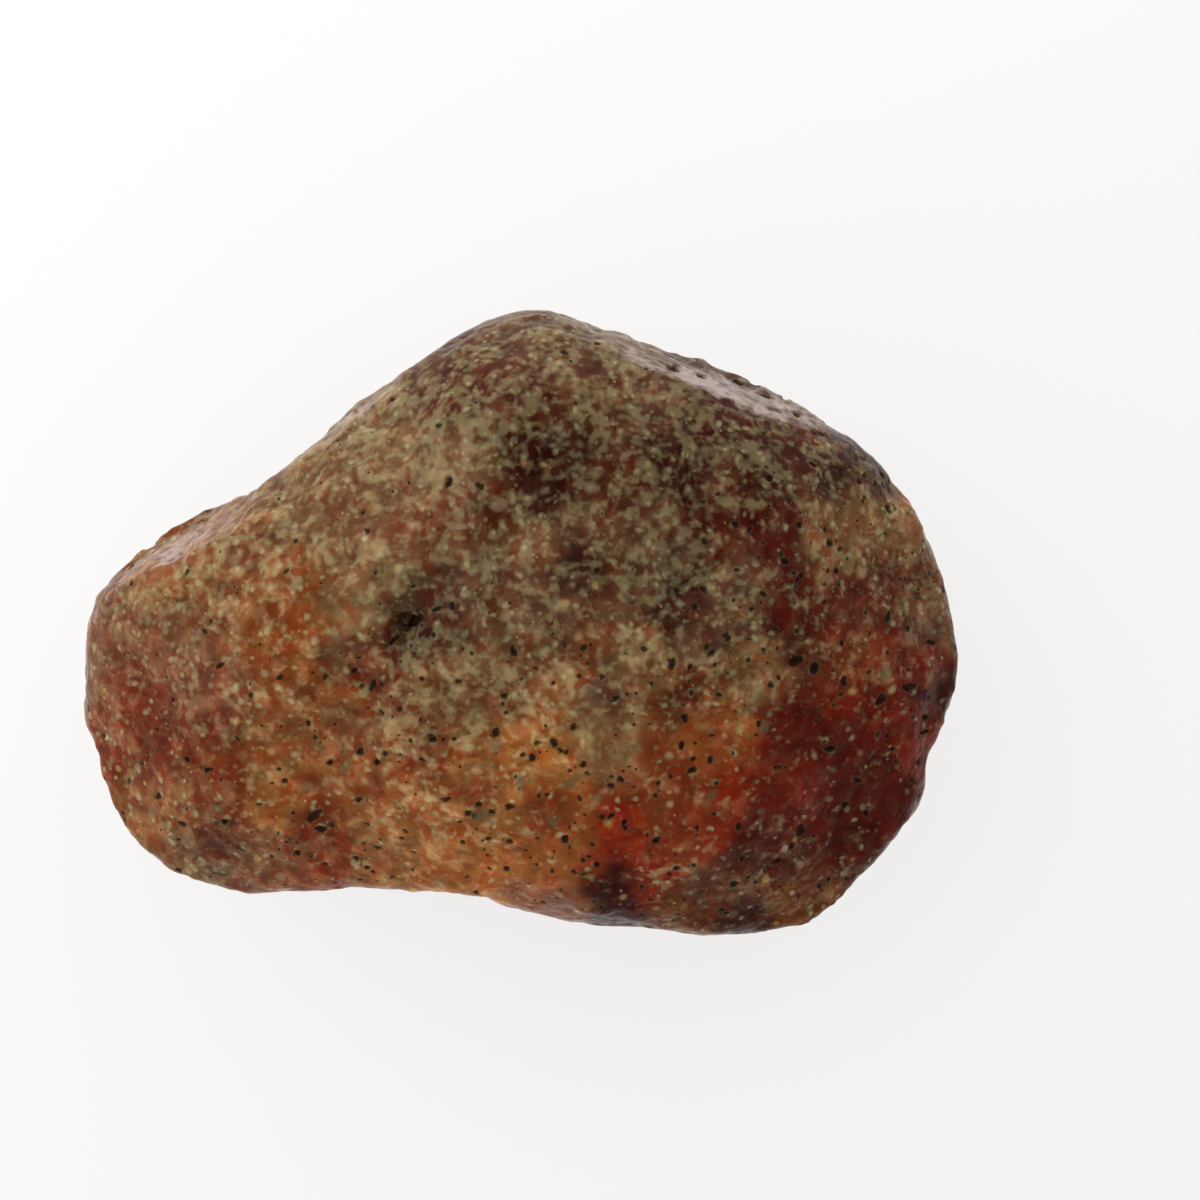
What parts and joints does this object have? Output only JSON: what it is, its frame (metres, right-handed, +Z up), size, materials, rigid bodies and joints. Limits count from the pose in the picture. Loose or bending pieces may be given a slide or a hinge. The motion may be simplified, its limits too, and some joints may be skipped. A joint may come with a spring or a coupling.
{
  "type": "rough fire agate pebble",
  "caption": "Rough fire agate: a waxy, pitted, kidney-shaped pebble with a steep back that rests on its flattish underside.",
  "frame": {"origin": "under the middle of the stone, on the surface that it rests on", "axes": "+X from the small lobe towards the large lobe, +Y towards the steep back, +Z up"},
  "size_m": [0.045, 0.0322, 0.0185],
  "materials": {
    "chalcedony": "waxy, translucent, mottled brick red, orange and khaki with cream flecks and dark pits"
  },
  "bodies": {
    "root": {"fire_agate": "chalcedony"}
  },
  "joints": []
}
